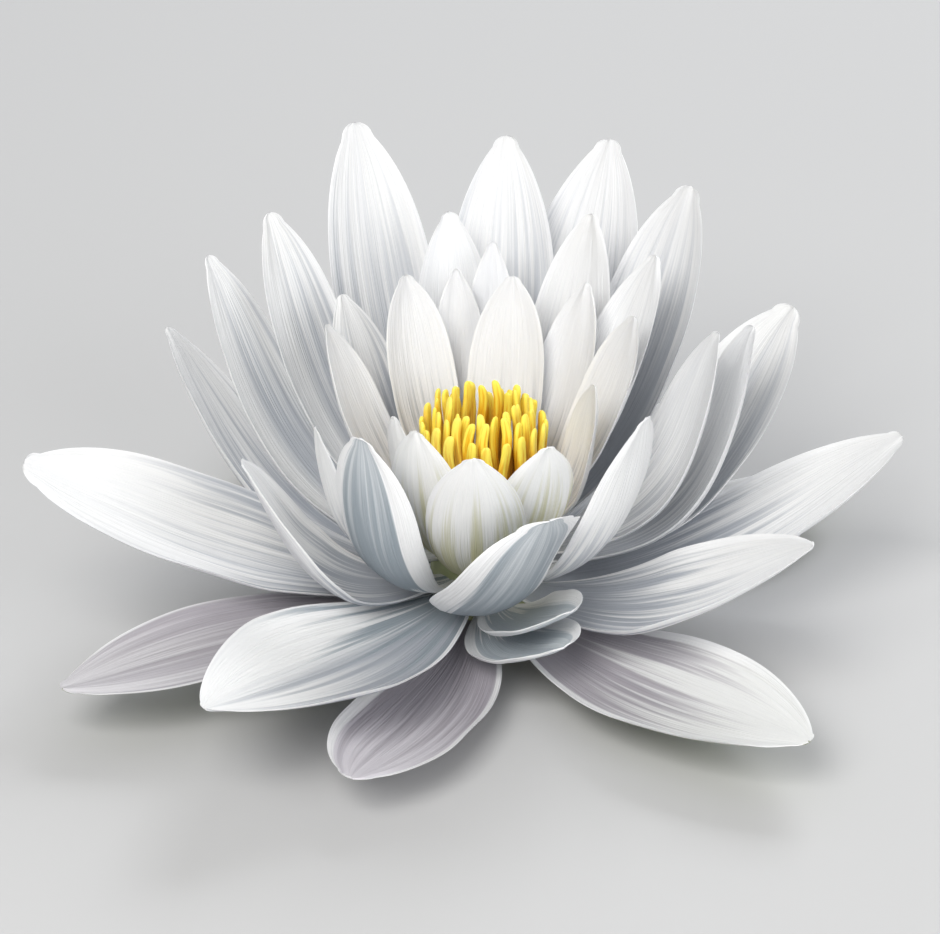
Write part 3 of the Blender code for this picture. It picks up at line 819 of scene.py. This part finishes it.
COLLAR_PROFILE = ((5.2, 20.2), (8.3, 20.2), (8.4, 22.4), (7.6, 23.2), (6.2, 23.4), (5.2, 22.6))
COLLAR_STEPS = 48

collar_turn = np.linspace(0, 2 * math.pi, COLLAR_STEPS, endpoint=False)
collar = np.array([
    [level(angle) * radius * MM + np.array([0, 0, height * MM]) for radius, height in COLLAR_PROFILE]
    for angle in collar_turn
])
collar = np.concatenate([collar, collar[:1]])
collar_places = np.zeros(collar.shape)
meshes = [skin(f"stamen_{count}", rings, places) for count, (rings, places) in enumerate(stamens)]
meshes.insert(0, skin("collar", collar, collar_places))
tuft = show("stamen_tuft", join_meshes("stamen_tuft", meshes), pollen, "stamens")
print("tuft:", len(tuft.data.polygons), "faces")

# %% [markdown]
# ## The stigma
# In the middle sits a shallow dish with rays, one for each chamber of the fruit below. It is the same skin
# again: rings that shrink towards the middle, with a wave round each for the rays and a small knob.

# %% Shape the stigma
STIGMA_RADIUS = 5.0 * MM
STIGMA_HEIGHT = 2.6 * MM
STIGMA_RAYS = 14
RAY_HEIGHT = 0.13
RAY_BULGE = 0.02
RAYS_FROM, RAYS_GROW_OVER = 0.2, 0.4
STIGMA_PROFILE = (
    (0.90, 0), (0.97, 0), (1.0, 0.1), (1.0, 0.75), (0.97, 0.95), (0.92, 0.98), (0.82, 0.86), (0.7, 0.74),
    (0.58, 0.64), (0.46, 0.57), (0.36, 0.52), (0.28, 0.50), (0.24, 0.60), (0.2, 0.72), (0.14, 0.78),
    (0.07, 0.80), (0.01, 0.80),
)

turn = np.linspace(0, 2 * math.pi, STIGMA_RAYS * 8, endpoint=False)
out, up = (np.array(shares, dtype=float) for shares in zip(*STIGMA_PROFILE))
ray = RAY_HEIGHT * np.cos(STIGMA_RAYS * turn)
grown = np.clip((out - RAYS_FROM) / RAYS_GROW_OVER, 0, 1) * np.clip(up * 2, 0, 1)
height = STIGMA_HEIGHT * (up[:, None] + ray[None, :] * grown[:, None])
radius = STIGMA_RADIUS * out[:, None] * (1 + RAY_BULGE * np.cos(STIGMA_RAYS * turn))[None, :]
rings = np.stack([radius * np.cos(turn), radius * np.sin(turn), SEAT_TOP + height], axis=2)
across_rays = np.broadcast_to(np.sin(turn * STIGMA_RAYS / 2), radius.shape)
places = np.stack([out[:, None] + 0 * radius, across_rays, 0 * radius], axis=2)
stigma_mesh = skin("stigma", rings, places)
print("stigma:", len(stigma_mesh.polygons), "faces")

# %% [markdown]
# The rays are yellow and the grooves between them browner and duller. The mesh says where each ray lies, so
# the colour follows the shape without any painting.

# %% Make the stigma material and show the stigma
DISC_YELLOW = (0.78, 0.66, 0.16, 1)
RIM_YELLOW = (0.90, 0.74, 0.14, 1)
GROOVE_BROWN = (0.52, 0.42, 0.06, 1)

stigma_finish, tree, shader = new_material("stigma_yellow")
place = add_node(tree, "ShaderNodeAttribute", attribute_name="place").outputs["Vector"]
axes = add_node(tree, "ShaderNodeSeparateXYZ", {0: place}).outputs
grooves = step_between(tree, maths(tree, "ABSOLUTE", axes["Y"]), 0.55, 1.0)
colour = blend_colours(tree, step_between(tree, axes["X"], 0.1, 0.95), DISC_YELLOW, RIM_YELLOW)
colour = blend_colours(tree, maths(tree, "MULTIPLY", grooves, 0.6), colour, GROOVE_BROWN)
tree.links.new(colour, shader.inputs["Base Color"])
tree.links.new(maths(tree, "ADD", maths(tree, "MULTIPLY", grooves, 0.25), 0.3), shader.inputs["Roughness"])
tree.links.new(grain_bump(tree, scale=5000.0, height=0.08 * MM, strength=0.5), shader.inputs["Normal"])
show("stigma", stigma_mesh, stigma_finish, "stigma_disc")
print("material:", stigma_finish.name)

# %% [markdown]
# ## The stalk and the receptacle
# The stalk swells into the receptacle, the barrel that all the blades grow from. Between the roots it is
# pale; the stalk below is green and faintly ribbed.

# %% Shape the stalk
STALK_PROFILE = (
    (5.85, 0.0), (6.0, 0.15), (6.0, 1.2), (6.05, 2.2), (6.6, 2.9), (7.4, 3.5), (8.1, 4.0), (8.4, 4.6),
    (8.4, 8.0), (8.35, 12.0), (8.3, 16.0), (8.3, 19.0), (8.1, 19.8), (7.6, 20.0),
)
STALK_HEIGHT = 20 * MM
STALK_RIBS = 20
STALK_RIB_HALF_DEPTH = 0.06 * MM

turn = np.linspace(0, 2 * math.pi, STALK_RIBS * 6, endpoint=False)
radius, height = (np.array(values) * MM for values in zip(*STALK_PROFILE))
rib = STALK_RIB_HALF_DEPTH * (np.cos(STALK_RIBS * turn) - 1)
radius = radius[:, None] + rib[None, :]
heights = np.broadcast_to(height[:, None], radius.shape)
rings = np.stack([radius * np.cos(turn), radius * np.sin(turn), heights], axis=2)
places = np.stack([heights / STALK_HEIGHT, 0 * radius + np.sin(turn), 0 * radius], axis=2)
stalk_mesh = skin("stalk", rings, places)
print("stalk:", len(stalk_mesh.polygons), "faces")

# %% [markdown]
# The cut shows what holds a water lily up: air canals, four wide ones in the middle and small ones round
# them. They are bored out with one Boolean, because a hole through a capped skin has no rings to follow.

# %% Bore the air canals
CanalRing = namedtuple("CanalRing", "radius distance count first")
CANALS = (CanalRing(1.15, 2.3, 4, 45), CanalRing(0.5, 4.4, 10, 0))
CANAL_DEPTH = 2.5 * MM
CANAL_SIDES = 20


def canal_meshes():
    """Rods to bore with. Each ring has its radius and distance in millimetres and its first angle."""
    around = np.linspace(0, 2 * math.pi, CANAL_SIDES, endpoint=False)
    rods = []
    for ring in CANALS:
        for canal in range(ring.count):
            centre = level(math.radians(ring.first) + 2 * math.pi * canal / ring.count) * ring.distance * MM
            rim = np.array([centre + level(angle) * ring.radius * MM for angle in around])
            ends = np.stack([rim - [0, 0, CANAL_DEPTH], rim + [0, 0, CANAL_DEPTH]])
            rods.append(skin("canal", ends, np.zeros(ends.shape)))
    return rods


stalk = show("stalk", stalk_mesh, None, "stalk_and_receptacle")
borer = bpy.data.objects.new("borer", join_meshes("borer", canal_meshes()))
bpy.context.scene.collection.objects.link(borer)
bore = stalk.modifiers.new("bore", "BOOLEAN")
bore.object = borer
bore.operation = "DIFFERENCE"
bore.solver = "EXACT"
bored = bpy.data.meshes.new_from_object(stalk.evaluated_get(bpy.context.evaluated_depsgraph_get()))
stalk.modifiers.clear()
stalk.data = bored
bpy.data.objects.remove(borer)
print("stalk after boring:", len(bored.polygons), "faces")

# %% [markdown]
# Green below runs raggedly into cream above, and the fresh cut is paler than the skin. The height along the
# stalk drives both, and the fine green lines stay on the green part.

# %% Make the stalk material
STALK_GREEN = (0.17, 0.24, 0.06, 1)
SEAT_CREAM = (0.72, 0.70, 0.48, 1)
CUT_GREEN = (0.52, 0.56, 0.30, 1)
LINE_GREEN = (0.20, 0.22, 0.08, 1)

stalk_finish, tree, shader = new_material("stalk_green")
place = add_node(tree, "ShaderNodeAttribute", attribute_name="place").outputs["Vector"]
axes = add_node(tree, "ShaderNodeSeparateXYZ", {0: place}).outputs
lines = add_node(tree, "ShaderNodeGroup", {"Place": place, "Count": 60.0, "Run": 1.0}, node_tree=streaks)
ragged = maths(tree, "MULTIPLY", maths(tree, "SUBTRACT", lines.outputs["Broad"], 0.5), 0.1)
rise = maths(tree, "ADD", axes["X"], ragged)
colour = blend_colours(tree, step_between(tree, rise, 0.14, 0.30), STALK_GREEN, SEAT_CREAM)
colour = blend_colours(tree, step_between(tree, axes["X"], 0.012, 0.0), colour, CUT_GREEN)
green_part = step_between(tree, rise, 0.30, 0.14)
lined = maths(tree, "MULTIPLY", maths(tree, "MULTIPLY", lines.outputs["Fine"], 0.25), green_part)
colour = blend_colours(tree, lined, colour, LINE_GREEN)
tree.links.new(colour, shader.inputs["Base Color"])
dullness = maths(tree, "ADD", maths(tree, "MULTIPLY", lines.outputs["Broad"], 0.2), 0.38)
tree.links.new(dullness, shader.inputs["Roughness"])
tree.links.new(grain_bump(tree, scale=2500.0, height=0.1 * MM, strength=0.3), shader.inputs["Normal"])
stalk.data.materials.clear()
stalk.data.materials.append(stalk_finish)
print("material:", stalk_finish.name)

# %% [markdown]
# ## The floor and the light
# White on white needs care: the floor is a pale grey, a good step darker than the petals.

# %% Lay the floor
FLOOR_SIZE = 12.0
FLOOR_GREY = (0.50, 0.50, 0.50, 1)

floor_mesh = bpy.data.meshes.new("floor")
corner = FLOOR_SIZE / 2
corners = [(-corner, -corner, 0), (corner, -corner, 0), (corner, corner, 0), (-corner, corner, 0)]
floor_mesh.from_pydata(corners, [], [(0, 1, 2, 3)])
floor = bpy.data.objects.new("floor", floor_mesh)
floor_finish, tree, shader = new_material("floor_pale_grey")
shader.inputs["Base Color"].default_value = FLOOR_GREY
shader.inputs["Roughness"].default_value = 0.7
shader.inputs["Specular IOR Level"].default_value = 0.2
floor_mesh.materials.append(floor_finish)
bpy.context.scene.collection.objects.link(floor)
print("floor laid")

# %% [markdown]
# The light is soft but comes mostly from the upper left, so that each petal keeps a light side and a shaded
# side. A faint sky fills the rest, and a weaker light from behind keeps the back from going flat.

# %% Hang the lights
SKY_COLOUR = (0.95, 0.96, 0.97, 1)
SKY_STRENGTH = 0.45


def softbox(name, place, size, power, colour):
    """A square area light that looks at the bloom."""
    light = bpy.data.lights.new(name, "AREA")
    light.size = size
    light.energy = power
    light.color = colour
    holder = bpy.data.objects.new(name, light)
    holder.location = place
    holder.rotation_euler = (Vector((0, 0, 0.03)) - holder.location).to_track_quat("-Z", "Y").to_euler()
    bpy.context.scene.collection.objects.link(holder)


softbox("key", Vector((-0.32, -0.75, 0.82)), 0.60, 10.5, (1.0, 0.985, 0.96))
softbox("fill", Vector((0.80, -0.90, 0.45)), 1.0, 8.5, (0.97, 0.98, 1.0))
softbox("back", Vector((0.3, 0.8, 0.7)), 0.5, 6.0, (0.95, 0.97, 1.0))

world = bpy.data.worlds.new("studio")
world.use_nodes = True
world.node_tree.nodes["Background"].inputs["Color"].default_value = SKY_COLOUR
world.node_tree.nodes["Background"].inputs["Strength"].default_value = SKY_STRENGTH
bpy.context.scene.world = world
bpy.context.scene.view_settings.view_transform = "Standard"
print("lights: key, fill, back and a faint sky")
